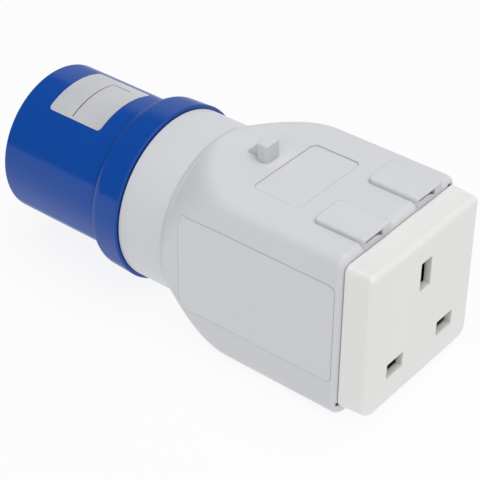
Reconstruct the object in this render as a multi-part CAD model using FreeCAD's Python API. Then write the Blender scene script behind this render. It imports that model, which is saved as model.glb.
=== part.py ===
import FreeCAD, Part
import math
import os

# Socket adapter: round industrial plug, grey housing, three-slot domestic outlet.
# +X runs along the plug's axis towards the outlet's face, +Z is up.
# The origin lies under the middle of the length, on the underside of the box.
# Shapes are drawn about the plug's axis and lifted to their height when saved.

# Lengths along the axis
shroud_length = 34.8
collar_length = 10.6
joint_gap = 0.3
neck_length = 14.6
box_length = 57.8
block_length = 8.2

# Plug shroud and collar
shroud_radius = 22.0
shroud_wall = 2.4
rim_round = 0.5
collar_proud = 1.2
collar_taper = 0.3
collar_round = 3.4
collar_edge = 0.3
key_width = 7.0
key_height = 2.2
key_start = 4.0
key_round = 0.9
ledge_depth = 39.0
ledge_thickness = 2.0
ledge_width = 2.4
socket_step = 2.7
locator_width = 4.0

# Pin carrier and pins
disc_thickness = 3.0
hub_length = 3.2
pin_inset = 4.7
pole_pin_radius = 2.5
earth_pin_radius = 3.5
pole_pin_length = 31.0
earth_pin_length = 34.0
pin_tip_round = 1.4
pin_boss_height = 1.0
pin_boss_wall = 1.6
carrier_edge = 0.4
pin_neck_depth = 0.4
terminal_radius = 4.4
terminal_length = 11.0
terminal_edge = 0.4
wire_hole_radius = 1.5
wire_hole_depth = 8.0
terminal_screw_radius = 1.7
terminal_screw_head = 2.6
terminal_head_height = 1.6
body_screw_radius = 1.5
body_screw_head = 2.9
body_screw_head_height = 2.2
body_screw_length = 17.0
body_screw_sink = 0.5
screw_slot_width = 0.8
screw_slot_depth = 0.9

# Housing
housing_width = 48.8
housing_height = 50.4
axis_rise = 0.4
top_edge_radius = 3.1
bottom_edge_radius = 4.8
housing_front_round = 2.0
neck_proud = 0.15
neck_wall = 2.75
step_length = 2.0
step_height = 1.0
step_sections = 5
blend_length = 19.7
blend_power = 1.95
blend_sections = 7
round_shortfall = 0.6
spigot_length = 3.6
spigot_wall = 2.3
spigot_back = 2.0
cavity_corner = 3.0
cavity_start = 22.8
screw_boss_wall = 1.8
screw_boss_length = 13.0
boss_floor = 1.0
boss_rib_thickness = 1.8
seal_width = 4.4

# Retention lug on the top of the housing
lug_back = 39.6
lug_thickness = 3.6
lug_width = 5.7
lug_height = 5.3
lug_shift = -0.5
lug_corner = 0.9
lug_round = 0.5
gusset_length = 3.6
gusset_width = 2.4
gusset_high = 4.4
gusset_low = 0.6

# Sunk panel on the top of the housing
panel_front = 21.3
panel_length = 14.9
panel_width = 26.2
panel_shift = -0.5
panel_corner = 1.8
panel_depth = 0.35

# Hinge pads with their slots, at the front of the top
pad_length = 15.3
pad_width = 11.0
pad_spacing = 22.6
pad_shift = 0.8
pad_height = 1.3
pad_root = 1.3
pad_corner = 1.4
pad_round = 0.6
pad_slot_width = 7.1
pad_slot_height = 0.45
pad_slot_depth = 5.0
pad_slot_roof = 0.75
pad_slot_shift = -1.3
pad_wedge_width = 2.8
pad_wedge_drop = 1.25

# Pry notches near two opposite corners of the box's front edge
pry_width = 1.4
pry_height = 1.1
pry_depth = 1.0
pry_top_inset = 2.4
pry_side_inset = 0.6
pry_side_rise = 1.9

# Outlet cover
block_width = 47.1
block_height = 45.3
block_draft = 0.4
block_top_corner = 1.9
block_bottom_corner = 3.8
block_front_round = 1.7
block_side_wall = 3.25
block_top_wall = 2.35
face_thickness = 2.0
skirt_length = 11.0
skirt_wall = 1.7
skirt_corner = 2.8
hook_width = 8.0
hook_length = 2.6
hook_height = 0.45
hook_back = 2.5
hook_spacing = 23.0
hook_play = 0.4
pin_pitch_across = 22.23
pin_pitch_up = 22.23
slots_drop = 0.18
pole_slot_width = 7.0
pole_slot_height = 4.5
earth_slot_width = 4.6
earth_slot_height = 8.5
slot_corner = 0.3
cover_boss_radius = 2.7
cover_boss_across = 15.0
cover_boss_up = 13.0
pilot_floor = 0.4
guide_thickness = 1.3
guide_length = 11.0
guide_rise = 0.6

# Shutter and spring
shutter_gap = 2.75
shutter_thickness = 1.8
shutter_travel = 5.5
shutter_cover = 0.75
shutter_margin = 0.2
shutter_end = 0.9
shutter_corner = 0.8
stem_width = 10.4
window_width = 5.2
window_bottom = -6.6
ramp_width = 6.4
ramp_top = 12.0
ramp_reach = 0.5
ramp_shoulder = 0.8
ramp_tip = 0.3
lip_height = 1.2
lip_bottom = 4.0
post_height = 1.2
post_top = -5.0
post_width = 3.6
spring_wire = 0.45
spring_radius = 1.45
spring_turns = 5
spring_margin = 0.15

# Outlet base, contacts and rear plate
base_length = 20.3
base_front_wall = 3.0
base_corner = 1.5
base_slot_ease = 0.1
chamber_size = 9.0
contact_block_length = 6.5
contact_size = 8.4
contact_edge = 0.4
contact_floor = 1.0
blade_thickness = 0.8
blade_length = 9.0
blade_width = 6.2
blade_flare = 1.0
blade_flare_length = 1.6
blade_bend = 0.3
pole_grip = 3.7
earth_grip = 3.7
driver_hole_radius = 2.4
outlet_terminal_head = 2.2
plate_thickness = 1.8
outlet_screw_radius = 1.4
outlet_screw_head = 2.6
outlet_screw_head_height = 1.6
outlet_screw_hold = 4.0
cable_hole_radius = 2.4

# Leads
core_radius = 0.9
sleeve_inner = 1.05
sleeve_radius = 1.8
strip_length = 5.0
lead_bend = 7.0
line_turn = 3.5
neutral_turn = 11.0
earth_turn = 17.5
lead_slant = 7.0
sleeve_end_gap = 0.5

# Clearances between pieces
seat_gap = 0.1
slide_gap = 0.15
skirt_gap = 0.2
shutter_play = 0.3
thread_gap = 0.06

# How far cutters pass a face, and how far joined forms reach into each other
overrun = 1.0
bite = 0.5

# How close two places are to count as the same
sameness = 1e-4

# Places along the axis
total_length = shroud_length + collar_length + joint_gap + neck_length + box_length + block_length
rim_x = -total_length / 2
collar_x = rim_x + shroud_length
collar_end_x = collar_x + collar_length
neck_x = collar_end_x + joint_gap
box_x = neck_x + neck_length
front_x = box_x + box_length
face_x = front_x + block_length
ledge_x = rim_x + ledge_depth
carrier_x = ledge_x - disc_thickness
ledge_back_x = ledge_x + ledge_thickness
hub_end_x = ledge_x + ledge_thickness + hub_length
spigot_x = neck_x - spigot_length
plate_inner_x = face_x - face_thickness
shutter_front_x = plate_inner_x - shutter_gap
shutter_back_x = shutter_front_x - shutter_thickness
base_front_x = shutter_back_x - shutter_play
base_back_x = base_front_x - base_length
plate_back_x = base_back_x - seat_gap - plate_thickness

# Sizes that follow from the ones above
axis_height = housing_height / 2 + axis_rise
roof_height = housing_height / 2 - axis_rise
half_width = housing_width / 2
collar_radius = half_width + collar_proud
collar_start_radius = collar_radius - collar_taper
neck_radius = half_width + neck_proud
shroud_bore = shroud_radius - shroud_wall
socket_bore = shroud_bore + socket_step
ledge_bore = shroud_bore - ledge_width
pin_circle_radius = ledge_bore - pin_inset
spigot_radius = socket_bore - skirt_gap
spigot_bore = spigot_radius - spigot_wall
neck_bore = neck_radius - neck_wall
inner_y = block_width / 2 - block_side_wall
inner_z = block_height / 2 - block_top_wall
skirt_y = inner_y + skirt_wall
skirt_z = inner_z + skirt_wall
base_y = inner_y - skirt_gap
base_z = inner_z - skirt_gap
groove_x = front_x - skirt_length + hook_back
pole_z = -pin_pitch_up / 2 - slots_drop
earth_z = pole_z + pin_pitch_up
pole_y = pin_pitch_across / 2
contact_spots = [(-pole_y, pole_z), (pole_y, pole_z), (0.0, earth_z)]
bar_top = pole_z + pole_slot_height / 2 + shutter_cover
bar_bottom = bar_top - (shutter_travel + shutter_cover - shutter_margin)
bar_half = pole_y + pole_slot_width / 2 + shutter_end


def vec(x, y, z):
    return FreeCAD.Vector(x, y, z)


def rod(x0, x1, radius, y=0.0, z=0.0):
    """Round bar along the axis direction from x0 to x1."""
    return Part.makeCylinder(radius, x1 - x0, vec(x0, y, z), vec(1, 0, 0))


def tube(x0, x1, outer, inner, y=0.0, z=0.0):
    """Round tube along the axis direction from x0 to x1."""
    return rod(x0, x1, outer, y, z).cut(rod(x0 - overrun, x1 + overrun, inner, y, z))


def block(x0, x1, y0, y1, z0, z1):
    """Plain rectangular block between two corners."""
    return Part.makeBox(x1 - x0, y1 - y0, z1 - z0, vec(x0, y0, z0))


def box_outline(x, half_y, top, bottom, top_corner, bottom_corner):
    """Rounded rectangle in the plane at x, from bottom below the axis to top above it."""
    edges = []
    for turn in range(4):
        sign_y = (1, -1, -1, 1)[turn]
        corner = (top_corner, top_corner, bottom_corner, bottom_corner)[turn]
        centre_y = sign_y * (half_y - corner)
        centre_z = (top - corner, top - corner, corner - bottom, corner - bottom)[turn]
        points = []
        for step in range(3):
            angle = math.radians(90 * turn + 45 * step)
            point = vec(x, centre_y + corner * math.cos(angle), centre_z + corner * math.sin(angle))
            points.append(point)
        edges.append(Part.Arc(*points).toShape())
    sides = []
    for turn in range(4):
        start = edges[turn].Vertexes[-1].Point
        finish = edges[(turn + 1) % 4].Vertexes[0].Point
        sides.append(edges[turn])
        sides.append(Part.LineSegment(start, finish).toShape())
    return Part.Wire(sides)


def rounded_outline(x, half_y, half_z, corner):
    """Rounded rectangle about the axis in the plane at x."""
    return box_outline(x, half_y, half_z, half_z, corner, corner)


def rounded_bar(x0, x1, half_y, half_z, corner):
    """Bar of rounded rectangular section along the axis."""
    outline = rounded_outline(x0, half_y, half_z, corner)
    return Part.Face(outline).extrude(vec(x1 - x0, 0, 0))


def turned(edges):
    """Solid of revolution about the axis from edges in the plane of X and Z."""
    face = Part.Face(Part.Wire(edges))
    return face.revolve(vec(0, 0, 0), vec(1, 0, 0), 360)


def line(x0, r0, x1, r1):
    return Part.LineSegment(vec(x0, 0, r0), vec(x1, 0, r1)).toShape()


def arc(x0, r0, xm, rm, x1, r1):
    return Part.Arc(vec(x0, 0, r0), vec(xm, 0, rm), vec(x1, 0, r1)).toShape()


def edges_at(shape, test):
    """Edges of the shape whose middle point passes the test."""
    found = []
    for edge in shape.Edges:
        middle = edge.valueAt((edge.FirstParameter + edge.LastParameter) / 2)
        if test(middle):
            found.append(edge)
    return found


def near(a, b):
    return abs(a - b) < sameness


def save(name, shape):
    """Lift the shape to its height and write it as one file."""
    lifted = shape.copy()
    lifted.translate(vec(0, 0, axis_height))
    lifted.exportStep(os.path.join("parts", name + ".step"))
    print(name, len(lifted.Solids), round(lifted.Volume, 1), lifted.isValid())


def spots(count, radius, start):
    """Places on a circle about the axis, as (y, z, angle)."""
    found = []
    for index in range(count):
        angle = math.radians(start + 360.0 * index / count)
        found.append((radius * math.cos(angle), radius * math.sin(angle), angle))
    return found


# Pins stand 120 degrees apart, earth at the bottom; the body screws stand between them
earth_spot, neutral_spot, line_spot = spots(3, pin_circle_radius, -90)
screw_spots = [spots(6, pin_circle_radius, -90)[1], spots(6, pin_circle_radius, -90)[5]]


def make_shroud():
    """Blue shroud and collar with the ledge that the carrier clamps."""
    diagonal = math.sqrt(0.5)
    rise = collar_start_radius - shroud_radius
    edges = [
        line(rim_x, shroud_bore, rim_x, shroud_radius - rim_round),
        arc(rim_x, shroud_radius - rim_round, rim_x + rim_round * (1 - diagonal),
            shroud_radius - rim_round * (1 - diagonal), rim_x + rim_round, shroud_radius),
        line(rim_x + rim_round, shroud_radius, collar_x, shroud_radius),
        arc(collar_x, shroud_radius, collar_x + collar_round * (1 - diagonal),
            shroud_radius + rise * diagonal, collar_x + collar_round, collar_start_radius),
        line(collar_x + collar_round, collar_start_radius, collar_end_x - collar_edge, collar_radius),
        arc(collar_end_x - collar_edge, collar_radius, collar_end_x - collar_edge * (1 - diagonal),
            collar_radius - collar_edge * (1 - diagonal), collar_end_x, collar_radius - collar_edge),
        line(collar_end_x, collar_radius - collar_edge, collar_end_x, socket_bore),
        line(collar_end_x, socket_bore, ledge_back_x, socket_bore),
        line(ledge_back_x, socket_bore, ledge_back_x, ledge_bore),
        line(ledge_back_x, ledge_bore, ledge_x, ledge_bore),
        line(ledge_x, ledge_bore, ledge_x, shroud_bore),
        line(ledge_x, shroud_bore, rim_x, shroud_bore),
    ]
    shroud = turned(edges)
    key = block(rim_x + key_start, collar_x + collar_round, -key_width / 2, key_width / 2,
                -shroud_radius - key_height, -shroud_radius + shroud_wall / 2)
    bottom = -shroud_radius - key_height
    corners = edges_at(key, lambda p: near(p.z, bottom) and not near(p.x, collar_x + collar_round))
    key = key.makeFillet(key_round, corners)
    notch = block(ledge_x - bite, ledge_back_x + overrun, -locator_width / 2 - slide_gap,
                  locator_width / 2 + slide_gap, 0, ledge_bore + ledge_width / 2)
    return shroud.fuse(key).cut(notch).removeSplitter()


def make_carrier():
    """Insulating disc with holes for the pins and recesses for the body screws."""
    carrier = rod(carrier_x, ledge_x - seat_gap, shroud_bore - slide_gap)
    rim = edges_at(carrier, lambda p: near(p.x, carrier_x))
    carrier = carrier.makeChamfer(carrier_edge, rim)
    carrier = carrier.fuse(rod(ledge_x - seat_gap - bite, hub_end_x, ledge_bore - slide_gap))
    locator = block(ledge_x - bite, ledge_back_x, -locator_width / 2, locator_width / 2, 0,
                    ledge_bore + ledge_width / 2 - slide_gap)
    carrier = carrier.fuse(locator)
    places = [(line_spot, pole_pin_radius), (neutral_spot, pole_pin_radius), (earth_spot, earth_pin_radius)]
    for spot, radius in places:
        boss = rod(carrier_x - pin_boss_height, carrier_x + bite, radius + pin_boss_wall, spot[0], spot[1])
        edge = edges_at(boss, lambda p: near(p.x, carrier_x - pin_boss_height))
        carrier = carrier.fuse(boss.makeChamfer(carrier_edge, edge))
    for spot, radius in places:
        hole_radius = radius - pin_neck_depth + seat_gap
        carrier = carrier.cut(rod(carrier_x - pin_boss_height - overrun, hub_end_x + overrun,
                                  hole_radius, spot[0], spot[1]))
    for spot in screw_spots:
        hole = rod(carrier_x - overrun, hub_end_x + overrun, body_screw_radius + slide_gap, spot[0], spot[1])
        recess = rod(carrier_x - overrun, carrier_x + body_screw_head_height + body_screw_sink,
                     body_screw_head + slide_gap, spot[0], spot[1])
        carrier = carrier.cut(hole).cut(recess)
    return carrier


def make_pin(spot, radius, length):
    """Plug pin: rounded tip, narrower neck held by the carrier, pillar terminal behind it."""
    tip_x = carrier_x - length
    pin = rod(tip_x, carrier_x - pin_boss_height, radius, spot[0], spot[1])
    tip = edges_at(pin, lambda p: near(p.x, tip_x))
    pin = pin.makeFillet(pin_tip_round, tip)
    neck = rod(carrier_x - pin_boss_height - bite, hub_end_x + bite, radius - pin_neck_depth,
               spot[0], spot[1])
    head_x = hub_end_x + seat_gap
    back_x = head_x + terminal_length
    head = rod(head_x, back_x, terminal_radius, spot[0], spot[1])
    ends = edges_at(head, lambda p: near(p.x, head_x) or near(p.x, back_x))
    pin = pin.fuse(neck).fuse(head.makeChamfer(terminal_edge, ends))
    pin = pin.cut(rod(back_x - wire_hole_depth, back_x + overrun, wire_hole_radius, spot[0], spot[1]))
    outward = vec(0, math.cos(spot[2]), math.sin(spot[2]))
    middle = vec(terminal_screw_x(), spot[0], spot[1])
    thread = Part.makeCylinder(terminal_screw_radius + thread_gap, terminal_radius + overrun, middle,
                               outward)
    return pin.cut(thread)


def terminal_screw_x():
    """Where the plug's terminal screws stand along the axis."""
    return hub_end_x + seat_gap + terminal_length - wire_hole_depth / 2


def slotted_screw(head_centre, inward, shank_radius, shank_length, head_radius, head_height):
    """Cheese-head screw whose head's underside lies at head_centre."""
    outward = inward * -1.0
    head = Part.makeCylinder(head_radius, head_height, head_centre, outward)
    shank = Part.makeCylinder(shank_radius, shank_length + head_height / 2,
                              head_centre + outward * (head_height / 2), inward)
    side = vec(0, 0, 1) if near(inward.z, 0) else vec(1, 0, 0)
    across = inward.cross(side)
    across.normalize()
    along = across.cross(inward)
    floor = head_centre + outward * (head_height - screw_slot_depth)
    corner = floor - along * (head_radius + overrun) - across * (screw_slot_width / 2)
    points = [corner, corner + along * (2 * head_radius + 2 * overrun)]
    points.append(points[1] + across * screw_slot_width)
    points.append(corner + across * screw_slot_width)
    points.append(corner)
    slot = Part.Face(Part.makePolygon(points)).extrude(outward * (screw_slot_depth + overrun))
    return head.cut(slot).fuse(shank)


def make_plug_terminal_screws():
    """Three screws that clamp the leads in the plug pins."""
    screws = []
    for spot in (line_spot, neutral_spot, earth_spot):
        outward = vec(0, math.cos(spot[2]), math.sin(spot[2]))
        seat = vec(terminal_screw_x(), spot[0], spot[1]) + outward * (terminal_radius + seat_gap)
        reach = terminal_radius - core_radius
        screws.append(slotted_screw(seat, outward * -1.0, terminal_screw_radius, reach,
                                    terminal_screw_head, terminal_head_height))
    return Part.makeCompound(screws)


def make_body_screws():
    """Two long screws that clamp carrier and shroud to the housing."""
    screws = []
    for spot in screw_spots:
        seat = vec(carrier_x + body_screw_head_height + body_screw_sink - seat_gap, spot[0], spot[1])
        screws.append(slotted_screw(seat, vec(1, 0, 0), body_screw_radius, body_screw_length,
                                    body_screw_head, body_screw_head_height))
    return Part.makeCompound(screws)


def make_seal():
    """Flat rubber ring between the shroud's ledge and the housing's spigot."""
    return tube(ledge_back_x + seat_gap, spigot_x - seat_gap, spigot_radius, spigot_radius - seal_width)


def housing_outer():
    """Outside of the housing: neck, soft step, and the change from round to square."""
    start_half = neck_radius + step_height
    start_corner = start_half - round_shortfall
    outer = rod(neck_x, box_x, neck_radius)
    rings = []
    for index in range(step_sections):
        share = index / (step_sections - 1)
        half = neck_radius + step_height * (1 - math.cos(math.pi * share)) / 2
        rings.append(rounded_outline(box_x + step_length * share, half, half, half - round_shortfall))
    outer = outer.fuse(Part.makeLoft(rings, True, False))
    wires = []
    for index in range(blend_sections):
        share = index / (blend_sections - 1)
        rest = (1 - share) ** blend_power
        wires.append(box_outline(
            box_x + step_length + blend_length * share,
            half_width + (start_half - half_width) * rest,
            roof_height + (start_half - roof_height) * rest,
            axis_height + (start_half - axis_height) * rest,
            top_edge_radius + (start_corner - top_edge_radius) * rest,
            bottom_edge_radius + (start_corner - bottom_edge_radius) * rest,
        ))
    outer = outer.fuse(Part.makeLoft(wires, True, False))
    main = Part.Face(wires[-1]).extrude(vec(front_x - box_x - step_length - blend_length, 0, 0))
    front = edges_at(main, lambda p: near(p.x, front_x))
    outer = outer.fuse(main.makeFillet(housing_front_round, front))
    return outer


def housing_hollow():
    """Inside of the housing: round in the neck, square in the box."""
    hollow = rod(spigot_x - overrun, neck_x + spigot_back, spigot_bore)
    hollow = hollow.fuse(rod(neck_x + spigot_back - bite, box_x + cavity_start + bite, neck_bore))
    return hollow.fuse(rounded_bar(box_x + cavity_start, front_x + overrun, skirt_y + skirt_gap,
                                   skirt_z + skirt_gap, cavity_corner))


def make_lug():
    """Catch on the top of the housing, with a gusset behind it."""
    back_x = front_x - lug_back - lug_thickness
    top = roof_height + lug_height
    root = roof_height - overrun
    plate = block(back_x, back_x + lug_thickness, lug_shift - lug_width / 2, lug_shift + lug_width / 2,
                  root, top)
    plate = plate.makeFillet(lug_corner, edges_at(plate, lambda p: near(p.z, (root + top) / 2)))
    plate = plate.makeFillet(lug_round, edges_at(plate, lambda p: near(p.z, top)))
    start_x = back_x - gusset_length
    start_y = lug_shift - gusset_width / 2
    points = [
        vec(start_x, start_y, root),
        vec(back_x + bite, start_y, root),
        vec(back_x + bite, start_y, roof_height + gusset_high),
        vec(back_x, start_y, roof_height + gusset_high),
        vec(start_x, start_y, roof_height + gusset_low),
        vec(start_x, start_y, root),
    ]
    gusset = Part.Face(Part.makePolygon(points)).extrude(vec(0, gusset_width, 0))
    return plate.fuse(gusset)


def make_pad(middle_y):
    """Raised hinge pad at the front of the top, with rounded rear corners."""
    back_x = front_x - pad_length
    top = roof_height + pad_height
    pad = block(back_x, front_x, middle_y - pad_width / 2, middle_y + pad_width / 2,
                roof_height - pad_root, top)
    upright = edges_at(pad, lambda p: near(p.x, back_x) and not near(p.y, middle_y))
    pad = pad.makeFillet(pad_corner, upright)
    return pad.makeFillet(pad_round, edges_at(pad, lambda p: near(p.z, top)))


def make_pad_slot(middle_y):
    """Slot in a hinge pad, open at the front, that deepens to a wedge at its far end."""
    back_x = front_x - pad_slot_depth
    roof = roof_height + pad_height - pad_slot_roof
    floor = roof - pad_slot_height
    start_y = middle_y + pad_slot_shift - pad_slot_width / 2
    end_y = start_y + pad_slot_width
    points = [
        vec(back_x, start_y, floor),
        vec(back_x, end_y - pad_wedge_width, floor),
        vec(back_x, end_y, floor - pad_wedge_drop),
        vec(back_x, end_y, roof),
        vec(back_x, start_y, roof),
        vec(back_x, start_y, floor),
    ]
    return Part.Face(Part.makePolygon(points)).extrude(vec(pad_slot_depth + overrun, 0, 0))


def make_housing():
    """Grey housing with everything that is moulded on it."""
    housing = housing_outer()
    housing = housing.fuse(rod(spigot_x, neck_x + bite, spigot_radius))
    pad_middles = (pad_shift - pad_spacing / 2, pad_shift + pad_spacing / 2)
    for middle_y in pad_middles:
        housing = housing.fuse(make_pad(middle_y))
    housing = housing.fuse(make_lug())
    panel_x = front_x - panel_front
    panel = block(panel_x - panel_length, panel_x, panel_shift - panel_width / 2,
                  panel_shift + panel_width / 2, roof_height - panel_depth, roof_height + overrun)
    upright = edges_at(panel, lambda p: near(p.z, roof_height + (overrun - panel_depth) / 2))
    housing = housing.cut(panel.makeFillet(panel_corner, upright))
    housing = housing.cut(housing_hollow())
    for middle_y in pad_middles:
        housing = housing.cut(make_pad_slot(middle_y))
    pry_spots = [
        (block_width / 2 - pry_top_inset, block_height / 2),
        (pry_side_inset - block_width / 2, pry_side_rise - block_height / 2),
    ]
    for y, z in pry_spots:
        housing = housing.cut(block(front_x - pry_depth, front_x + overrun, y - pry_width / 2,
                                    y + pry_width / 2, z - pry_height / 2, z + pry_height / 2))
    boss_start = hub_end_x + seat_gap
    boss_radius = body_screw_radius + screw_boss_wall
    for spot in screw_spots:
        outward = vec(0, math.cos(spot[2]), math.sin(spot[2]))
        boss = rod(boss_start, boss_start + screw_boss_length, boss_radius, spot[0], spot[1])
        rib_length = neck_bore + bite - pin_circle_radius
        rib = block(neck_x + spigot_back, boss_start + screw_boss_length, 0, rib_length,
                    -boss_rib_thickness / 2, boss_rib_thickness / 2)
        rib.rotate(vec(0, 0, 0), vec(1, 0, 0), math.degrees(spot[2]))
        rib.translate(vec(0, spot[0], spot[1]))
        housing = housing.fuse(boss).fuse(rib)
        pilot = rod(boss_start - overrun, boss_start + screw_boss_length - boss_floor,
                    body_screw_radius + thread_gap, spot[0], spot[1])
        housing = housing.cut(pilot)
    for side in (-1, 1):
        for middle in (-hook_spacing / 2, hook_spacing / 2):
            z_near = side * (skirt_z + skirt_gap - bite)
            z_far = side * (skirt_z + skirt_gap + hook_height)
            half = hook_width / 2 + hook_play
            housing = housing.cut(block(groove_x - hook_play, groove_x + hook_length + hook_play,
                                        middle - half, middle + half,
                                        min(z_near, z_far), max(z_near, z_far)))
    return housing


def make_cover():
    """White outlet cover: front block, skirt, snap hooks, bosses and guides."""
    back_x = front_x + seat_gap
    outlines = []
    for x, draft in ((back_x, 0.0), (face_x, block_draft)):
        half_z = block_height / 2 - draft
        outlines.append(box_outline(x, block_width / 2 - draft, half_z, half_z, block_top_corner,
                                    block_bottom_corner))
    cover = Part.makeLoft(outlines, True, True)
    front = edges_at(cover, lambda p: near(p.x, face_x))
    cover = cover.makeFillet(block_front_round, front)
    skirt_x = front_x - skirt_length
    cover = cover.fuse(rounded_bar(skirt_x, back_x + bite, skirt_y, skirt_z, skirt_corner))
    cover = cover.cut(rounded_bar(skirt_x - overrun, plate_inner_x, inner_y, inner_z,
                                  skirt_corner - skirt_wall / 2))
    for side in (-1, 1):
        for middle in (-hook_spacing / 2, hook_spacing / 2):
            cover = cover.fuse(make_hook(middle, side))
    for side in (-1, 1):
        boss = rod(base_front_x + seat_gap, plate_inner_x + bite, cover_boss_radius,
                   side * cover_boss_across, cover_boss_up)
        cover = cover.fuse(boss)
        cover = cover.cut(rod(base_front_x - overrun, plate_inner_x - pilot_floor,
                              outlet_screw_radius + thread_gap, side * cover_boss_across,
                              cover_boss_up))
        guide_y = side * (bar_half + shutter_play + guide_thickness / 2)
        guide_z = bar_bottom - shutter_travel + guide_rise
        guide = block(base_front_x + seat_gap, plate_inner_x + bite, guide_y - guide_thickness / 2,
                      guide_y + guide_thickness / 2, guide_z, guide_z + guide_length)
        cover = cover.fuse(guide)
    for cutter in slot_cutters(plate_inner_x - bite, face_x + overrun, 0.0):
        cover = cover.cut(cutter)
    return cover


def make_hook(middle, side):
    """Snap hook on the skirt that clicks into the housing's groove."""
    end_x = groove_x + hook_length
    start_y = middle - hook_width / 2
    points = [
        vec(groove_x, start_y, side * (skirt_z - bite)),
        vec(end_x, start_y, side * (skirt_z - bite)),
        vec(end_x, start_y, side * (skirt_z + hook_height)),
        vec(groove_x, start_y, side * skirt_z),
        vec(groove_x, start_y, side * (skirt_z - bite)),
    ]
    return Part.Face(Part.makePolygon(points)).extrude(vec(0, hook_width, 0))


def slot_cutters(x0, x1, extra):
    """The three pin slots as blocks from x0 to x1, each side wider by extra."""
    places = [
        (-pole_y, pole_z, pole_slot_width, pole_slot_height),
        (pole_y, pole_z, pole_slot_width, pole_slot_height),
        (0.0, earth_z, earth_slot_width, earth_slot_height),
    ]
    cutters = []
    for y, z, wide, high in places:
        cutter = block(x0, x1, y - wide / 2 - extra, y + wide / 2 + extra,
                       z - high / 2 - extra, z + high / 2 + extra)
        uprights = [edge for edge in cutter.Edges if near(abs(edge.tangentAt(0).x), 1)]
        cutters.append(cutter.makeFillet(slot_corner, uprights))
    return cutters


def make_shutter():
    """Sliding shutter: bar over the pole slots, stem with window, ramp for the earth pin."""
    bar = block(shutter_back_x, shutter_front_x, -bar_half, bar_half, bar_bottom, bar_top)
    corners = [edge for edge in bar.Edges if near(abs(edge.tangentAt(0).x), 1)]
    shutter = bar.makeFillet(shutter_corner, corners)
    stem = block(shutter_back_x, shutter_front_x, -stem_width / 2, stem_width / 2, bar_top - overrun,
                 lip_bottom + lip_height)
    window = block(shutter_back_x - overrun, shutter_front_x + overrun, -window_width / 2, window_width / 2,
                   window_bottom, lip_bottom)
    shutter = shutter.fuse(stem).cut(window)
    lip = block(shutter_back_x, shutter_front_x + shutter_gap - shutter_play, -window_width / 2,
                window_width / 2, lip_bottom, lip_bottom + lip_height)
    points = [
        vec(shutter_back_x, -ramp_width / 2, lip_bottom),
        vec(shutter_front_x + ramp_reach, -ramp_width / 2, lip_bottom),
        vec(shutter_front_x + ramp_reach, -ramp_width / 2, lip_bottom + lip_height + ramp_shoulder),
        vec(shutter_back_x + ramp_tip, -ramp_width / 2, ramp_top),
        vec(shutter_back_x, -ramp_width / 2, ramp_top),
        vec(shutter_back_x, -ramp_width / 2, lip_bottom),
    ]
    ramp = Part.Face(Part.makePolygon(points)).extrude(vec(0, ramp_width, 0))
    return shutter.fuse(lip).fuse(ramp).removeSplitter()


def spring_centre_x():
    """Axis of the shutter spring, between base and cover plate."""
    return base_front_x + spring_radius + spring_wire + spring_margin


def make_spring():
    """Return spring of the shutter, standing between the base's post and the shutter's lip."""
    bottom = post_top + spring_margin
    top = lip_bottom - spring_margin
    height = top - bottom - spring_wire
    pitch = height / spring_turns
    helix = Part.makeHelix(pitch, height, spring_radius)
    wire = Part.Wire(helix)
    start = wire.Edges[0].valueAt(wire.Edges[0].FirstParameter)
    direction = wire.Edges[0].tangentAt(wire.Edges[0].FirstParameter)
    arcs = [Part.makeCircle(spring_wire / 2, start, direction, first, first + 120)
            for first in (0, 120, 240)]
    coil = wire.makePipeShell([Part.Wire(arcs)], True, True)
    coil.translate(vec(spring_centre_x(), 0, bottom + spring_wire / 2))
    return coil


def make_base():
    """Moulding behind the shutter that holds the three contacts."""
    base = rounded_bar(base_back_x, base_front_x, base_y, base_z, base_corner)
    floor_x = base_front_x - base_front_wall
    for y, z in contact_spots:
        half = chamber_size / 2
        base = base.cut(block(base_back_x - overrun, floor_x, y - half, y + half,
                              z - half, z + half))
        upward = 1 if z > 0 else -1
        foot = vec(base_back_x + contact_block_length / 2 + seat_gap, y, z)
        base = base.cut(Part.makeCylinder(driver_hole_radius, base_z + overrun, foot, vec(0, 0, upward)))
    for cutter in slot_cutters(floor_x - overrun, base_front_x + overrun, base_slot_ease):
        base = base.cut(cutter)
    for side in (-1, 1):
        base = base.cut(rod(base_back_x - overrun, base_front_x + overrun, outlet_screw_radius + slide_gap,
                            side * cover_boss_across, cover_boss_up))
    post = block(base_front_x - bite, shutter_front_x + shutter_gap - shutter_play, -post_width / 2,
                 post_width / 2, post_top - post_height, post_top)
    return base.fuse(post)


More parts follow.
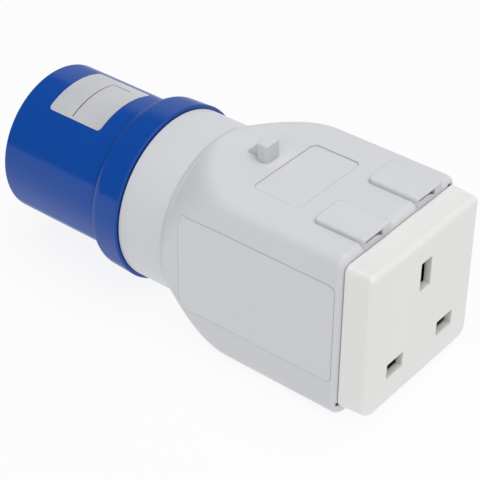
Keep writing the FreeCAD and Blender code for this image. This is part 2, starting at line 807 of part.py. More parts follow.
def make_contact(y, z, grip, upright):
    """Fork contact: terminal block with two sprung blades that grip a pin."""
    back_x = base_back_x + seat_gap
    block_end = back_x + contact_block_length
    half = contact_size / 2
    body = block(back_x, block_end, -half, half, -half, half)
    body = body.makeChamfer(contact_edge, edges_at(body, lambda p: near(p.x, back_x)))
    body = body.cut(rod(back_x - overrun, block_end - contact_floor, wire_hole_radius))
    thread = Part.makeCylinder(terminal_screw_radius + thread_gap, half + overrun,
                               vec(back_x + contact_block_length / 2, 0, 0), vec(0, 0, 1 if z > 0 else -1))
    body = body.cut(thread)
    for side in (-1, 1):
        inner = grip / 2
        outer = inner + blade_thickness
        blade_end = block_end + blade_length
        start_y = -blade_width / 2
        points = [
            vec(block_end - bite, start_y, side * outer),
            vec(block_end - bite, start_y, side * inner),
            vec(blade_end - blade_flare_length, start_y, side * inner),
            vec(blade_end, start_y, side * (inner + blade_flare)),
            vec(blade_end, start_y, side * (outer + blade_flare)),
            vec(blade_end - blade_flare_length - blade_bend, start_y, side * outer),
            vec(block_end - bite, start_y, side * outer),
        ]
        body = body.fuse(Part.Face(Part.makePolygon(points)).extrude(vec(0, blade_width, 0)))
    if upright:
        fork = body.copy()
        fork.rotate(vec(0, 0, 0), vec(1, 0, 0), 90)
        cube = block(back_x, block_end, -half, half, -half, half)
        blades = fork.cut(cube)
        body = body.common(cube).fuse(blades)
    body.translate(vec(0, y, z))
    return body


def make_outlet_terminal_screws():
    """Three screws that clamp the leads in the outlet's contacts."""
    screws = []
    for y, z in contact_spots:
        upward = 1 if z > 0 else -1
        seat = vec(base_back_x + seat_gap + contact_block_length / 2, y,
                   z + upward * (contact_size / 2 + seat_gap))
        reach = contact_size / 2 - core_radius
        screws.append(slotted_screw(seat, vec(0, 0, -upward), terminal_screw_radius, reach,
                                    outlet_terminal_head, terminal_head_height))
    return Part.makeCompound(screws)


def make_contact_plate():
    """Rear plate that keeps the contacts in the base."""
    plate = rounded_bar(plate_back_x, base_back_x - seat_gap, base_y, base_z, base_corner)
    for y, z in contact_spots:
        plate = plate.cut(rod(plate_back_x - overrun, base_back_x + overrun, cable_hole_radius, y, z))
    for side in (-1, 1):
        plate = plate.cut(rod(plate_back_x - overrun, base_back_x + overrun,
                              outlet_screw_radius + slide_gap, side * cover_boss_across,
                              cover_boss_up))
    return plate


def make_outlet_screws():
    """Two screws through plate and base into the cover's bosses."""
    screws = []
    reach = base_front_x - plate_back_x + outlet_screw_hold
    for side in (-1, 1):
        seat = vec(plate_back_x - seat_gap, side * cover_boss_across, cover_boss_up)
        screws.append(slotted_screw(seat, vec(1, 0, 0), outlet_screw_radius, reach,
                                    outlet_screw_head, outlet_screw_head_height))
    return Part.makeCompound(screws)


def rounded_path(points, bend):
    """Straight runs through the points, joined by tangent arcs."""
    edges = []
    start = points[0]
    for index in range(1, len(points) - 1):
        before = points[index] - points[index - 1]
        after = points[index + 1] - points[index]
        before.normalize()
        after.normalize()
        turn = before.getAngle(after)
        back = bend * math.tan(turn / 2)
        first = points[index] - before * back
        last = points[index] + after * back
        inward = after - before
        inward.normalize()
        to_centre = bend / math.cos(turn / 2)
        middle = points[index] + inward * (to_centre - bend)
        edges.append(Part.LineSegment(start, first).toShape())
        edges.append(Part.Arc(first, middle, last).toShape())
        start = last
    edges.append(Part.LineSegment(start, points[-1]).toShape())
    return Part.Wire(edges)


def lead_points(spot, target_y, target_z, turn_x, inset):
    """Route of a lead from its pin's terminal to its contact."""
    start_x = hub_end_x + seat_gap + terminal_length
    end_x = plate_back_x
    return [
        vec(start_x - inset, spot[0], spot[1]),
        vec(turn_x, spot[0], spot[1]),
        vec(turn_x + lead_slant, target_y, target_z),
        vec(end_x + inset, target_y, target_z),
    ]


def sweep_round(path, radius):
    """Round bar that follows a path."""
    edge = path.Edges[0]
    start = edge.valueAt(edge.FirstParameter)
    direction = edge.tangentAt(edge.FirstParameter)
    section = Part.Wire(Part.makeCircle(radius, start, direction))
    return path.makePipeShell([section], True, False)


def make_lead(spot, target_y, target_z, turn_x):
    """Insulating sleeve and copper core of one lead."""
    sleeve_path = rounded_path(lead_points(spot, target_y, target_z, turn_x, -sleeve_end_gap), lead_bend)
    core_path = rounded_path(lead_points(spot, target_y, target_z, turn_x, strip_length), lead_bend)
    sleeve = sweep_round(sleeve_path, sleeve_radius).cut(sweep_round(core_path, sleeve_inner))
    return sleeve, sweep_round(core_path, core_radius)


def build():
    os.makedirs("parts", exist_ok=True)
    save("plug_shroud", make_shroud())
    save("pin_carrier", make_carrier())
    save("line_pin", make_pin(line_spot, pole_pin_radius, pole_pin_length))
    save("neutral_pin", make_pin(neutral_spot, pole_pin_radius, pole_pin_length))
    save("earth_pin", make_pin(earth_spot, earth_pin_radius, earth_pin_length))
    save("plug_terminal_screws", make_plug_terminal_screws())
    save("body_screws", make_body_screws())
    save("seal_ring", make_seal())
    save("housing", make_housing())
    save("outlet_cover", make_cover())
    save("outlet_base", make_base())
    save("line_contact", make_contact(pole_y, pole_z, pole_grip, False))
    save("neutral_contact", make_contact(-pole_y, pole_z, pole_grip, False))
    save("earth_contact", make_contact(0.0, earth_z, earth_grip, True))
    save("outlet_terminal_screws", make_outlet_terminal_screws())
    save("contact_plate", make_contact_plate())
    save("outlet_screws", make_outlet_screws())
    save("shutter", make_shutter())
    save("shutter_spring", make_spring())
    leads = [
        ("line", line_spot, pole_y, pole_z, line_turn),
        ("neutral", neutral_spot, -pole_y, pole_z, neutral_turn),
        ("earth", earth_spot, 0.0, earth_z, earth_turn),
    ]
    for name, spot, target_y, target_z, turn_x in leads:
        sleeve, core = make_lead(spot, target_y, target_z, turn_x)
        save(name + "_wire", sleeve)
        save(name + "_core", core)


build()
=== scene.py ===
import math
import bpy
from mathutils import Euler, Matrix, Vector


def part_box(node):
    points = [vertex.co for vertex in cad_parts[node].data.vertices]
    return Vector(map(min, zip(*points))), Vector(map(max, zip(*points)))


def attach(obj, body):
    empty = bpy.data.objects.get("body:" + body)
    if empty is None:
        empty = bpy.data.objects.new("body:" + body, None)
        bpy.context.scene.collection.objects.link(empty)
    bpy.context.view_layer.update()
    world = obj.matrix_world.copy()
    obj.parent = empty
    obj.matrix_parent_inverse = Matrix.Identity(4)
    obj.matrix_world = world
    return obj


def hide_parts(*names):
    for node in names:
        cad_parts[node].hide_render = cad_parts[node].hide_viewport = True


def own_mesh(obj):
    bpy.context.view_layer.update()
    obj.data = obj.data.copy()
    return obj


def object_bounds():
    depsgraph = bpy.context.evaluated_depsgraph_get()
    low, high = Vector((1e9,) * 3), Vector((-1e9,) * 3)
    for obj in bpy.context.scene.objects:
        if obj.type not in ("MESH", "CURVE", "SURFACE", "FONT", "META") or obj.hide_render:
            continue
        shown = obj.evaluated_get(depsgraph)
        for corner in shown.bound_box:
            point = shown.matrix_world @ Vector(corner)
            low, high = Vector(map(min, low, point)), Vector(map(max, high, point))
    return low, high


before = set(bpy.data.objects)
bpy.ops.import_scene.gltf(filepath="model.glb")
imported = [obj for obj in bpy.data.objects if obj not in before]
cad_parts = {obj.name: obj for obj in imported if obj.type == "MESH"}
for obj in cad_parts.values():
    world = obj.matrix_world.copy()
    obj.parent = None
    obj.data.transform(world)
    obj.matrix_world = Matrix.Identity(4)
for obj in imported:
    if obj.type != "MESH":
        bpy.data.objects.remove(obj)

cadLow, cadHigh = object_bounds()
print("frame loaded:", len(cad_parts), "pieces")

mm = 0.001
rightAngle = math.radians(90)
shroudLow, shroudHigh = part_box("plug_shroud")
housingLow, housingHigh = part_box("housing")
coverLow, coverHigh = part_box("outlet_cover")
axisHeight = (coverLow.z + coverHigh.z) / 2     # the plug's axis, above the table


# camera, standing where the photograph was taken from
cameraLook = {
    "place": (0.23029, -0.28217, 0.28107),
    "turn": (54.134, -0.466, 39.033),           # degrees about x, y and z
    "lens": 123.573,
    "sensor": 36.0,
    "nearest": 0.01,                            # nothing nearer or farther than these is drawn
    "farthest": 20.0,
}


def makeCamera():
    data = bpy.data.cameras.new("photoCamera")
    data.lens = cameraLook["lens"]
    data.sensor_width = cameraLook["sensor"]
    data.clip_start = cameraLook["nearest"]
    data.clip_end = cameraLook["farthest"]
    camera = bpy.data.objects.new("photoCamera", data)
    camera.location = cameraLook["place"]
    camera.rotation_euler = Euler([math.radians(angle) for angle in cameraLook["turn"]])
    bpy.context.collection.objects.link(camera)
    bpy.context.scene.camera = camera


makeCamera()
print("camera placed")


# small helpers for node trees
# Colours are written as display values, 0 to 255. This gives the linear ones that Blender
# mixes, and its numbers are those of the sRGB curve.
def linear(display):
    values = []
    for value in display:
        share = value / 255
        values.append(share / 12.92 if share <= 0.04045 else ((share + 0.055) / 1.055) ** 2.4)
    return (*values, 1.0)


# A number or a colour is set on the socket, and another node's output is linked to it.
def feed(tree, value, socket):
    if isinstance(value, (int, float, tuple)):
        socket.default_value = value
    else:
        tree.links.new(value, socket)


def newGroup(name, inputs, outputs):
    group = bpy.data.node_groups.new(name, "ShaderNodeTree")
    for label, kind, value in inputs:
        socket = group.interface.new_socket(name=label, in_out="INPUT", socket_type=kind)
        if value is not None:
            socket.default_value = value
    for label, kind in outputs:
        group.interface.new_socket(name=label, in_out="OUTPUT", socket_type=kind)
    return group, group.nodes.new("NodeGroupInput"), group.nodes.new("NodeGroupOutput")


def placeGroup(tree, group, values):
    node = tree.nodes.new("ShaderNodeGroup")
    node.node_tree = group
    for label, value in values.items():
        feed(tree, value, node.inputs[label])
    return node.outputs


def mathNode(tree, operation, first, second):
    node = tree.nodes.new("ShaderNodeMath")
    node.operation = operation
    feed(tree, first, node.inputs[0])
    feed(tree, second, node.inputs[1])
    return node.outputs[0]


# Soft step: while the value crosses the span, the result goes from its first number to its second.
def rangeNode(tree, value, span, result=(0.0, 1.0)):
    node = tree.nodes.new("ShaderNodeMapRange")
    node.interpolation_type = "SMOOTHSTEP"
    for label, limit in zip(("From Min", "From Max", "To Min", "To Max"), (*span, *result)):
        node.inputs[label].default_value = limit
    tree.links.new(value, node.inputs["Value"])
    return node.outputs["Result"]


def mixColour(tree, share, first, second):
    node = tree.nodes.new("ShaderNodeMix")
    node.data_type = "RGBA"
    tree.links.new(share, node.inputs["Factor"])
    for label, value in (("A", first), ("B", second)):
        feed(tree, value, [s for s in node.inputs if s.name == label and s.type == "RGBA"][0])
    return [s for s in node.outputs if s.type == "RGBA"][0]


def noiseNode(tree, coords, scale, detail):
    node = tree.nodes.new("ShaderNodeTexNoise")
    node.inputs["Detail"].default_value = detail
    tree.links.new(coords, node.inputs["Vector"])
    feed(tree, scale, node.inputs["Scale"])
    return node.outputs["Fac"]


# Bands across one axis, straight unless they waver.
def bandsNode(tree, coords, axis, scale, waver=0.0):
    node = tree.nodes.new("ShaderNodeTexWave")
    node.bands_direction = axis
    node.inputs["Distortion"].default_value = waver
    tree.links.new(coords, node.inputs["Vector"])
    feed(tree, scale, node.inputs["Scale"])
    return node.outputs["Fac"]


def splitNode(tree, vector):
    node = tree.nodes.new("ShaderNodeSeparateXYZ")
    tree.links.new(vector, node.inputs[0])
    return node.outputs


# shared effects: each is a group that a material places with its own values
mouldGrain = {
    "fineDetail": 3.0,
    "slowDetail": 2.0,
    "tone": (0.2, 0.8),             # values of the slow noise between which the tone changes
}


# Fine spark-eroded grain of a mould, and slow mottling of the surface's tone.
def makeGrainGroup():
    group, inside, out = newGroup(
        "mouldGrain",
        [("Coords", "NodeSocketVector", None), ("Fine Scale", "NodeSocketFloat", 2500.0),
         ("Slow Scale", "NodeSocketFloat", 45.0)],
        [("Height", "NodeSocketFloat"), ("Tone", "NodeSocketFloat")])
    coords = inside.outputs["Coords"]
    fine = noiseNode(group, coords, inside.outputs["Fine Scale"], mouldGrain["fineDetail"])
    slow = noiseNode(group, coords, inside.outputs["Slow Scale"], mouldGrain["slowDetail"])
    group.links.new(fine, out.inputs["Height"])
    group.links.new(rangeNode(group, slow, mouldGrain["tone"]), out.inputs["Tone"])
    return group


edgeWear = {
    "samples": 4,
    "bend": (0.98, 0.80),           # cosine of the edge's turn where wear starts, and where it is full
    "patchScale": 350.0,
    "patchDetail": 3.0,
    "patches": (0.42, 0.62),        # values of the noise between which an edge goes from whole to worn
}


# Mask of rubbed edges, and a normal that softens them.
def makeWearGroup():
    group, inside, out = newGroup(
        "edgeWear",
        [("Coords", "NodeSocketVector", None), ("Radius", "NodeSocketFloat", 0.3 * mm)],
        [("Mask", "NodeSocketFloat"), ("Normal", "NodeSocketVector")])
    bevel = group.nodes.new("ShaderNodeBevel")
    bevel.samples = edgeWear["samples"]
    group.links.new(inside.outputs["Radius"], bevel.inputs["Radius"])
    flat = group.nodes.new("ShaderNodeNewGeometry")
    agree = group.nodes.new("ShaderNodeVectorMath")
    agree.operation = "DOT_PRODUCT"
    group.links.new(bevel.outputs["Normal"], agree.inputs[0])
    group.links.new(flat.outputs["Normal"], agree.inputs[1])
    edge = rangeNode(group, agree.outputs["Value"], edgeWear["bend"])
    noise = noiseNode(group, inside.outputs["Coords"], edgeWear["patchScale"], edgeWear["patchDetail"])
    patches = rangeNode(group, noise, edgeWear["patches"])
    group.links.new(mathNode(group, "MULTIPLY", edge, patches), out.inputs["Mask"])
    group.links.new(bevel.outputs["Normal"], out.inputs["Normal"])
    return group


creviceShade = {
    "samples": 8,
    "seam": (0.75, 0.25),           # open share round a point where the tint starts, and where it is full
    "open": (0.85, 0.97),           # and where it starts to count as open, and where it fully does
}


# Mask of seams, slots and corners, where painted shade darkens the colour, and of what lies open.
def makeCreviceGroup():
    group, inside, out = newGroup(
        "creviceShade",
        [("Reach", "NodeSocketFloat", 2 * mm)],
        [("Mask", "NodeSocketFloat"), ("Open", "NodeSocketFloat")])
    near = group.nodes.new("ShaderNodeAmbientOcclusion")
    near.samples = creviceShade["samples"]
    group.links.new(inside.outputs["Reach"], near.inputs["Distance"])
    group.links.new(rangeNode(group, near.outputs["AO"], creviceShade["seam"]), out.inputs["Mask"])
    group.links.new(rangeNode(group, near.outputs["AO"], creviceShade["open"]), out.inputs["Open"])
    return group


turnedRings = {"waver": 0.6}


# Fine rings that a lathe leaves on a pin or a screw.
def makeTurnedGroup():
    group, inside, out = newGroup(
        "turnedRings",
        [("Coords", "NodeSocketVector", None), ("Scale", "NodeSocketFloat", 900.0)],
        [("Height", "NodeSocketFloat")])
    rings = bandsNode(group, inside.outputs["Coords"], "X", inside.outputs["Scale"], turnedRings["waver"])
    group.links.new(rings, out.inputs["Height"])
    return group


grainGroup = makeGrainGroup()
wearGroup = makeWearGroup()
creviceGroup = makeCreviceGroup()
turnedGroup = makeTurnedGroup()
print("shared effects made")


# materials
def newMaterial(name):
    material = bpy.data.materials.new(name)
    material.use_nodes = True
    tree = material.node_tree
    shader = tree.nodes["Principled BSDF"]
    coords = tree.nodes.new("ShaderNodeTexCoord").outputs["Object"]
    return material, tree, shader, coords


def placeGrain(tree, coords, look):
    return placeGroup(tree, grainGroup, {"Coords": coords, "Fine Scale": look["grain"],
                                         "Slow Scale": look["mottle"]})


def placeWear(tree, coords, look):
    return placeGroup(tree, wearGroup, {"Coords": coords, "Radius": look["edge"]})


# What all finishes end with: the colour, a roughness that follows the tone, and the relief.
def finishShader(tree, shader, look, colour, tone, height, normal=None):
    tree.links.new(colour, shader.inputs["Base Color"])
    rough = rangeNode(tree, tone, (0.0, 1.0), (look["smooth"], look["rough"]))
    tree.links.new(rough, shader.inputs["Roughness"])
    bump = tree.nodes.new("ShaderNodeBump")
    bump.inputs["Distance"].default_value = look["depth"]
    tree.links.new(height, bump.inputs["Height"])
    if normal is not None:
        tree.links.new(normal, bump.inputs["Normal"])
    tree.links.new(bump.outputs["Normal"], shader.inputs["Normal"])


# Moulded plastic: mottled tone, fine grain, rubbed edges and painted shade in seams and corners.
def makePlastic(name, look):
    material, tree, shader, coords = newMaterial(name)
    grain = placeGrain(tree, coords, look)
    wear = placeWear(tree, coords, look)
    crevice = placeGroup(tree, creviceGroup, {"Reach": look["reach"]})
    colour = mixColour(tree, grain["Tone"], linear(look["colour"]), linear(look["deep"]))
    rubbed = mathNode(tree, "MULTIPLY", wear["Mask"], look["wear"])
    rubbed = mathNode(tree, "MULTIPLY", rubbed, crevice["Open"])
    colour = mixColour(tree, rubbed, colour, linear(look["rubbed"]))
    # Painted shade: where the crevice mask finds a point hemmed in, its colour darkens towards the seam
    # colour.
    paintedShade = mathNode(tree, "MULTIPLY", crevice["Mask"], look["seam"])
    colour = mixColour(tree, paintedShade, colour, linear(look["seamShadeColour"]))
    finishShader(tree, shader, look, colour, grain["Tone"], grain["Height"], wear["Normal"])
    shader.inputs["IOR"].default_value = look["ior"]
    shader.inputs["Specular IOR Level"].default_value = look["mirror"]
    if "grazing" in look:
        facing = tree.nodes.new("ShaderNodeLayerWeight").outputs["Facing"]
        mirror = rangeNode(tree, facing, look["turning"], (look["mirror"], look["grazing"]))
        tree.links.new(mirror, shader.inputs["Specular IOR Level"])
    return material


# In each, "deep" is the second tone of the mottling, "edge" how wide edges are softened, "wear"
# and "rubbed" how much and in what colour they show wear, "reach" how far the painted shade in
# seams and corners spreads and "depth" the grain's height. Where there is "grazing", the mirror
# goes to it as the surface turns away from the eye.
# The seam colours below are painted shade for seams, slots and corners; on the white plastic it is tinted
# a warm beige.
bluePlastic = {"colour": (9, 73, 162), "deep": (7, 69, 156), "grain": 2600.0, "mottle": 38.0,
               "edge": 0.12 * mm, "reach": 1.5 * mm, "wear": 0.12, "rubbed": (60, 104, 178),
               "seam": 0.45, "seamShadeColour": (6, 26, 74), "smooth": 0.13, "rough": 0.19,
               "depth": 0.003 * mm, "ior": 1.36, "mirror": 0.5, "grazing": 0.03,
               "turning": (0.45, 0.80)}
greyPlastic = {"colour": (212, 213, 217), "deep": (208, 209, 213), "grain": 2200.0, "mottle": 30.0,
               "edge": 0.4 * mm, "reach": 1.6 * mm, "wear": 0.15, "rubbed": (218, 219, 222),
               "seam": 0.5, "seamShadeColour": (136, 135, 134), "smooth": 0.36, "rough": 0.44,
               "depth": 0.008 * mm, "ior": 1.45, "mirror": 0.3}
whitePlastic = {"colour": (231, 230, 228), "deep": (228, 227, 225), "grain": 2600.0, "mottle": 30.0,
                "edge": 0.4 * mm, "reach": 1.6 * mm, "wear": 0.15, "rubbed": (236, 236, 234),
                "seam": 0.45, "seamShadeColour": (180, 168, 140), "smooth": 0.28, "rough": 0.35,
                "depth": 0.005 * mm, "ior": 1.48, "mirror": 0.9}
darkPlastic = {"colour": (52, 52, 54), "deep": (46, 46, 48), "grain": 1800.0, "mottle": 60.0,
               "edge": 0.3 * mm, "reach": 1.5 * mm, "wear": 0.4, "rubbed": (92, 92, 94),
               "seam": 0.6, "seamShadeColour": (20, 20, 20), "smooth": 0.42, "rough": 0.55,
               "depth": 0.015 * mm, "ior": 1.5, "mirror": 0.5}
shutterPlastic = {"colour": (66, 52, 38), "deep": (58, 46, 34), "grain": 1800.0, "mottle": 80.0,
                  "edge": 0.2 * mm, "reach": 1.0 * mm, "wear": 0.3, "rubbed": (96, 82, 66),
                  "seam": 0.4, "seamShadeColour": (34, 25, 16), "smooth": 0.40, "rough": 0.52,
                  "depth": 0.012 * mm, "ior": 1.5, "mirror": 0.5}
sealRubber = {"colour": (30, 30, 31), "deep": (25, 25, 26), "grain": 1500.0, "mottle": 90.0,
              "edge": 0.2 * mm, "reach": 1.0 * mm, "wear": 0.3, "rubbed": (62, 62, 62),
              "seam": 0.4, "seamShadeColour": (12, 12, 12), "smooth": 0.65, "rough": 0.8,
              "depth": 0.02 * mm, "ior": 1.45, "mirror": 0.5}
brownSleeve = {"colour": (96, 58, 34), "deep": (86, 50, 30), "grain": 1500.0, "mottle": 120.0,
               "edge": 0.1 * mm, "reach": 1.0 * mm, "wear": 0.2, "rubbed": (130, 96, 70),
               "seam": 0.4, "seamShadeColour": (40, 24, 14), "smooth": 0.35, "rough": 0.5,
               "depth": 0.01 * mm, "ior": 1.5, "mirror": 0.5}
blueSleeve = {**brownSleeve, "colour": (38, 92, 176), "deep": (32, 82, 160),
              "rubbed": (100, 140, 200), "seamShadeColour": (14, 36, 80)}


# Plated or bare metal: turned rings, slow tarnish and brighter rubbed edges.
def makeMetal(name, look):
    material, tree, shader, coords = newMaterial(name)
    rings = placeGroup(tree, turnedGroup, {"Coords": coords, "Scale": look["rings"]})
    grain = placeGrain(tree, coords, look)
    wear = placeWear(tree, coords, look)
    colour = mixColour(tree, grain["Tone"], linear(look["colour"]), linear(look["tarnish"]))
    colour = mixColour(tree, wear["Mask"], colour, linear(look["bright"]))
    finishShader(tree, shader, look, colour, grain["Tone"], rings["Height"], wear["Normal"])
    shader.inputs["Metallic"].default_value = 1.0
    return material


nickelPlate = {"colour": (206, 201, 190), "tarnish": (186, 180, 168), "bright": (228, 225, 218),
               "rings": 700.0, "grain": 2000.0, "mottle": 120.0, "edge": 0.2 * mm,
               "smooth": 0.16, "rough": 0.26, "depth": 0.004 * mm}
brassSheet = {"colour": (214, 178, 104), "tarnish": (178, 140, 76), "bright": (232, 204, 140),
              "rings": 300.0, "grain": 1500.0, "mottle": 200.0, "edge": 0.15 * mm,
              "smooth": 0.22, "rough": 0.36, "depth": 0.003 * mm}
zincSteel = {"colour": (186, 190, 194), "tarnish": (160, 164, 168), "bright": (214, 216, 218),
             "rings": 1200.0, "grain": 1800.0, "mottle": 250.0, "edge": 0.15 * mm,
             "smooth": 0.24, "rough": 0.38, "depth": 0.004 * mm}
copperStrand = {"colour": (206, 128, 92), "tarnish": (170, 98, 68), "bright": (226, 160, 128),
                "rings": 1500.0, "grain": 1500.0, "mottle": 300.0, "edge": 0.1 * mm,
                "smooth": 0.25, "rough": 0.4, "depth": 0.006 * mm}


# Two-colour insulation of the earth lead.
def makeStripedSleeve(name, look):
    material, tree, shader, coords = newMaterial(name)
    grain = placeGrain(tree, coords, look)
    bands = bandsNode(tree, coords, "Y", look["stripes"])
    stripe = rangeNode(tree, bands, look["stripeEdge"])
    colour = mixColour(tree, stripe, linear(look["green"]), linear(look["yellow"]))
    finishShader(tree, shader, look, colour, grain["Tone"], grain["Height"])
    return material


earthSleeve = {"green": (58, 128, 62), "yellow": (226, 204, 62), "stripes": 190.0,
               "stripeEdge": (0.45, 0.55), "smooth": 0.35, "rough": 0.5, "grain": 1500.0,
               "mottle": 120.0, "depth": 0.01 * mm}

finishes = {
    "blue_plastic": makePlastic("bluePlastic", bluePlastic),
    "grey_plastic": makePlastic("greyPlastic", greyPlastic),
    "white_plastic": makePlastic("whitePlastic", whitePlastic),
    "dark_plastic": makePlastic("darkPlastic", darkPlastic),
    "shutter_plastic": makePlastic("shutterPlastic", shutterPlastic),
    "rubber": makePlastic("sealRubber", sealRubber),
    "brown_sleeve": makePlastic("brownSleeve", brownSleeve),
    "blue_sleeve": makePlastic("blueSleeve", blueSleeve),
    "green_yellow_sleeve": makeStripedSleeve("earthSleeve", earthSleeve),
    "nickel": makeMetal("nickelPlate", nickelPlate),
    "brass": makeMetal("brassSheet", brassSheet),
    "steel": makeMetal("zincSteel", zincSteel),
    "copper": makeMetal("copperStrand", copperStrand),
}

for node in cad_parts.values():
    for slot in node.material_slots:
        slot.material = finishes[slot.material.name.split(".")[0]]
print("finishes on", len(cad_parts), "pieces")


# small helpers for meshes
def selectOnly(piece):
    bpy.ops.object.select_all(action="DESELECT")
    piece.select_set(True)
    bpy.context.view_layer.objects.active = piece


def applyModifier(piece, kind, **values):
    selectOnly(piece)
    modifier = piece.modifiers.new(kind.lower(), kind)
    for label, value in values.items():
        setattr(modifier, label, value)
    bpy.ops.object.modifier_apply(modifier=modifier.name)


# the shutter's return spring, which on the real socket shortens as the shutter opens; here it is wound
# once, at rest
returnSpring = {
    "turns": 5,
    "wire": 0.45 * mm,
    "wireSides": 12,
    "turnSteps": 32,
    "smoothAngle": math.radians(50),
}


def makeReturnSpring():
    look = returnSpring
    low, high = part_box("shutter_spring")
    rise = high.z - low.z - look["wire"]
    radius = (high.x - low.x - look["wire"]) / 2
    bpy.ops.object.select_all(action="DESELECT")
    bpy.ops.mesh.primitive_circle_add(vertices=look["wireSides"], radius=look["wire"] / 2,
                                      location=(radius, 0, 0), rotation=(rightAngle, 0, 0))
    coil = bpy.context.active_object
    coil.name = "return_spring"
    bpy.ops.object.transform_apply(location=True, rotation=True, scale=True)
    applyModifier(coil, "SCREW", axis="Z", screw_offset=rise / look["turns"], iterations=look["turns"],
                  steps=look["turnSteps"], render_steps=look["turnSteps"])
    bpy.ops.object.mode_set(mode="EDIT")
    bpy.ops.mesh.select_all(action="SELECT")
    bpy.ops.mesh.fill_holes(sides=look["wireSides"])
    bpy.ops.mesh.select_all(action="SELECT")
    bpy.ops.mesh.normals_make_consistent(inside=False)
    bpy.ops.object.mode_set(mode="OBJECT")
    coil.location = ((low.x + high.x) / 2, (low.y + high.y) / 2, low.z + look["wire"] / 2)
    bpy.ops.object.transform_apply(location=True)
    bpy.ops.object.shade_smooth_by_angle(angle=look["smoothAngle"])
    coil.data.materials.append(finishes["steel"])
    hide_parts("shutter_spring")
    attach(coil, "adapter_body")
    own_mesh(coil)


makeReturnSpring()
print("return spring wound")


# films stuck on the shroud and on the housing's side
filmStock = {
    "cornerSteps": 6,
    "lift": 1 * mm,             # height of the flat sheet before it is pressed on
    "glue": 0.02 * mm,
    "smoothAngle": math.radians(30),
}


# Rounded sheet of film, cut into strips and pressed onto the surface below it.
def layFilm(name, look, centre, turn, axis, target, materials):
    bpy.ops.object.select_all(action="DESELECT")
    bpy.ops.mesh.primitive_plane_add(size=1.0, location=centre, rotation=turn)
    film = bpy.context.active_object
    film.name = name
    film.scale = (look["length"], look["width"], 1.0)
    bpy.ops.object.transform_apply(location=True, rotation=True, scale=True)
    for material in materials:
        film.data.materials.append(material)
    bpy.ops.object.mode_set(mode="EDIT")
    bpy.ops.mesh.select_mode(type="FACE")
    bpy.ops.mesh.select_all(action="SELECT")
    bpy.ops.mesh.bevel(offset=look["corner"], segments=filmStock["cornerSteps"], affect="VERTICES")
    bpy.ops.mesh.select_all(action="SELECT")
    bpy.ops.mesh.inset(thickness=look["border"])
    bpy.ops.mesh.select_all(action="INVERT")
    film.active_material_index = 1
    bpy.ops.object.material_slot_assign()
    low = [min(corner[i] for corner in film.bound_box) for i in range(3)]
    high = [max(corner[i] for corner in film.bound_box) for i in range(3)]
    for index, strips in look["strips"].items():
        normal = [1.0 if i == index else 0.0 for i in range(3)]
        for step in range(1, strips):
            place = list(centre)
            place[index] = low[index] + (high[index] - low[index]) * step / strips
            bpy.ops.mesh.select_all(action="SELECT")
            bpy.ops.mesh.bisect(plane_co=place, plane_no=normal)
    bpy.ops.object.mode_set(mode="OBJECT")
    applyModifier(film, "SHRINKWRAP", target=target, wrap_method="PROJECT", offset=filmStock["glue"],
                  use_project_x=False, use_project_y=axis == "Y", use_project_z=axis == "Z",
                  use_negative_direction=True, use_positive_direction=True)
    applyModifier(film, "SOLIDIFY", thickness=look["thickness"], offset=1.0)
    selectOnly(film)
    bpy.ops.object.shade_smooth_by_angle(angle=filmStock["smoothAngle"])
    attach(film, "adapter_body")


shroudLabel = {
    "start": 9.1 * mm,          # from the shroud's rim to the label
    "length": 18.8 * mm,
    "width": 21.0 * mm,         # straight across, before it is pressed round the shroud
    "across": -1.4 * mm,        # middle of the label, from the plug's axis
    "corner": 1.1 * mm,
    "border": 0.12 * mm,
    "thickness": 0.09 * mm,
    "strips": {1: 40},          # across y
    "rule": 8.4 * mm,           # from the label's start to the ruled line across it
    "ruleNear": 11.3 * mm,      # where that line starts and turns, on both sides of the axis
    "ruleSide": 5.3 * mm,
    "ruleEnd": 14.6 * mm,       # from the label's start to the end of the line along it
    "ruleWidth": 0.32 * mm,
}
silverFilm = {"colour": (206, 207, 210), "deep": (193, 194, 198), "ink": (78, 76, 72),
              "smooth": 0.34, "rough": 0.42, "grain": 3000.0, "mottle": 60.0,
              "depth": 0.004 * mm, "metal": 0.1}


# Mask of a thin ruled line: a box between two corners, each given by x and y.
def lineMask(tree, parts, low, high):
    mask = None
    for axis, start, end in zip("XY", low, high):
        above = mathNode(tree, "GREATER_THAN", parts[axis], start)
        below = mathNode(tree, "LESS_THAN", parts[axis], end)
        both = mathNode(tree, "MULTIPLY", above, below)
        mask = both if mask is None else mathNode(tree, "MULTIPLY", mask, both)
    return mask


# Silver foil label stock with two plain ruled lines.
def makeSilverFilm(name, look, label):
    material, tree, shader, coords = newMaterial(name)
    grain = placeGrain(tree, coords, look)
    startX = shroudLow.x + label["start"]
    ruleX = startX + label["rule"]
    farX = startX + label["ruleEnd"]
    sideY = label["ruleSide"]
    half = label["ruleWidth"] / 2
    parts = splitNode(tree, coords)
    across = lineMask(tree, parts, (ruleX - half, -label["ruleNear"]), (ruleX + half, sideY))
    along = lineMask(tree, parts, (ruleX, sideY - half), (farX, sideY + half))
    ink = mathNode(tree, "MAXIMUM", across, along)
    colour = mixColour(tree, grain["Tone"], linear(look["colour"]), linear(look["deep"]))
    colour = mixColour(tree, ink, colour, linear(look["ink"]))
    finishShader(tree, shader, look, colour, grain["Tone"], grain["Height"])
    shader.inputs["Metallic"].default_value = look["metal"]
    return material


silver = makeSilverFilm("silverFilm", silverFilm, shroudLabel)
layFilm("shroud_label", shroudLabel,
        (shroudLow.x + shroudLabel["start"] + shroudLabel["length"] / 2, shroudLabel["across"],
         shroudHigh.z + filmStock["lift"]),
        (0.0, 0.0, 0.0), "Z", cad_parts["plug_shroud"], [silver, silver])

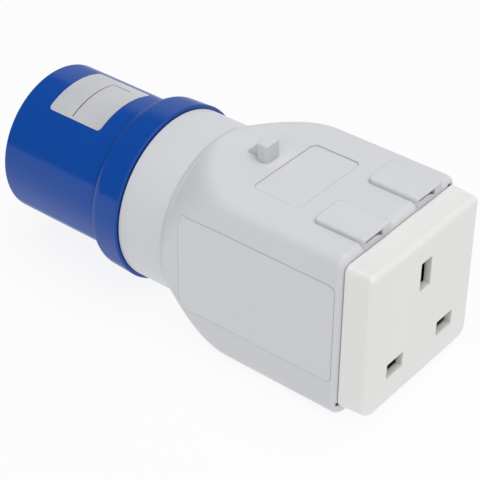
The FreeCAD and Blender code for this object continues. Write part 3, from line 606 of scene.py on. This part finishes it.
sideLabel = {
    "front": 1.9 * mm,          # from the housing's front edge to the label
    "length": 49.2 * mm,
    "width": 29.9 * mm,
    "up": 0.95 * mm,            # middle of the label, above the plug's axis
    "corner": 1.8 * mm,
    "border": 0.18 * mm,
    "thickness": 0.07 * mm,
    "strips": {0: 50, 2: 30},   # across x and z
}
clearFilm = {"colour": (211, 212, 215), "deep": (209, 210, 213), "grain": 2200.0, "mottle": 30.0,
             "edge": 0.02 * mm, "reach": 0.6 * mm, "wear": 0.0, "rubbed": (222, 223, 226),
             "seam": 0.0, "seamShadeColour": (150, 150, 152), "smooth": 0.26, "rough": 0.32,
             "depth": 0.003 * mm, "ior": 1.48, "mirror": 0.5}
# The film's border takes a darker colour: painted shade along the film's cut edge.
filmEdgeShade = {**clearFilm, "colour": (186, 188, 195), "deep": (180, 182, 190),
            "seamShadeColour": (120, 120, 122), "smooth": 0.3, "rough": 0.4}
clear = makePlastic("clearFilm", clearFilm)
clearEdge = makePlastic("filmEdgeShade", filmEdgeShade)
layFilm("side_label", sideLabel,
        (housingHigh.x - sideLabel["front"] - sideLabel["length"] / 2, housingLow.y - filmStock["lift"],
         axisHeight + sideLabel["up"]),
        (rightAngle, 0.0, 0.0), "Y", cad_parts["housing"], [clear, clearEdge])
print("labels laid")


# table, studio light
studio = {
    "tableSize": 2.4,
    "tableColour": (238, 238, 238),
    "tableGlow": 0.88,          # share of plain white that the lit table gives by itself
    "skyDim": 0.22,             # brightness of the dim wall left of the camera
    "skyRoom": 0.58,            # of the rest of the room
    "skyBack": 0.95,            # and of the lit strip low down behind the adapter
    "roomStart": (-0.40, -0.10),    # from left to right, where the dim wall gives way to the room
    "backStart": (0.30, 0.60),      # from front to back, where the strip comes up
    "backTop": (0.55, 0.75),        # from low to high, where it fades
    "topLamp": {"place": (0.30, -0.10, 1.50), "size": 1.6, "power": 16.5},
    "sideLamp": {"place": (0.35, -1.30, 0.75), "size": 1.0, "power": 3.45},
}


# plain white table, lit through, so that the shadow on it stays faint
def makeTable():
    bpy.ops.object.select_all(action="DESELECT")
    bpy.ops.mesh.primitive_plane_add(size=studio["tableSize"], location=(0, 0, cadLow.z))
    table = bpy.context.active_object
    table.name = "table"
    bpy.ops.object.transform_apply(location=True)
    material = bpy.data.materials.new("tableTop")
    material.use_nodes = True
    tree = material.node_tree
    tree.nodes.clear()
    matt = tree.nodes.new("ShaderNodeBsdfDiffuse")
    matt.inputs["Color"].default_value = linear(studio["tableColour"])
    glow = tree.nodes.new("ShaderNodeEmission")
    mix = tree.nodes.new("ShaderNodeMixShader")
    mix.inputs["Fac"].default_value = studio["tableGlow"]
    tree.links.new(matt.outputs[0], mix.inputs[1])
    tree.links.new(glow.outputs[0], mix.inputs[2])
    out = tree.nodes.new("ShaderNodeOutputMaterial")
    tree.links.new(mix.outputs[0], out.inputs["Surface"])
    table.data.materials.append(material)


# white room with a dim wall left of the camera, which the glossy plug mirrors
def makeWorld():
    world = bpy.data.worlds.new("studioWorld")
    world.use_nodes = True
    bpy.context.scene.world = world
    tree = world.node_tree
    tree.nodes.clear()
    parts = splitNode(tree, tree.nodes.new("ShaderNodeTexCoord").outputs["Generated"])
    behind = rangeNode(tree, parts["Y"], studio["backStart"])
    low = rangeNode(tree, parts["Z"], studio["backTop"], (1.0, 0.0))
    strip = rangeNode(tree, mathNode(tree, "MULTIPLY", behind, low), (0.0, 1.0),
                      (studio["skyDim"], studio["skyBack"]))
    room = rangeNode(tree, parts["X"], studio["roomStart"], (studio["skyDim"], studio["skyRoom"]))
    sky = tree.nodes.new("ShaderNodeBackground")
    tree.links.new(mathNode(tree, "MAXIMUM", room, strip), sky.inputs["Strength"])
    out = tree.nodes.new("ShaderNodeOutputWorld")
    tree.links.new(sky.outputs[0], out.inputs["Surface"])


def makeLamp(name):
    look = studio[name]
    data = bpy.data.lights.new(name, "AREA")
    data.size = look["size"]
    data.energy = look["power"]
    lamp = bpy.data.objects.new(name, data)
    lamp.location = look["place"]
    aim = Vector((0.0, 0.0, axisHeight)) - Vector(look["place"])
    lamp.rotation_euler = aim.to_track_quat("-Z", "Y").to_euler()
    bpy.context.collection.objects.link(lamp)


makeTable()
makeWorld()
makeLamp("topLamp")
makeLamp("sideLamp")
bpy.context.scene.view_settings.view_transform = "Standard"
print("studio lit")
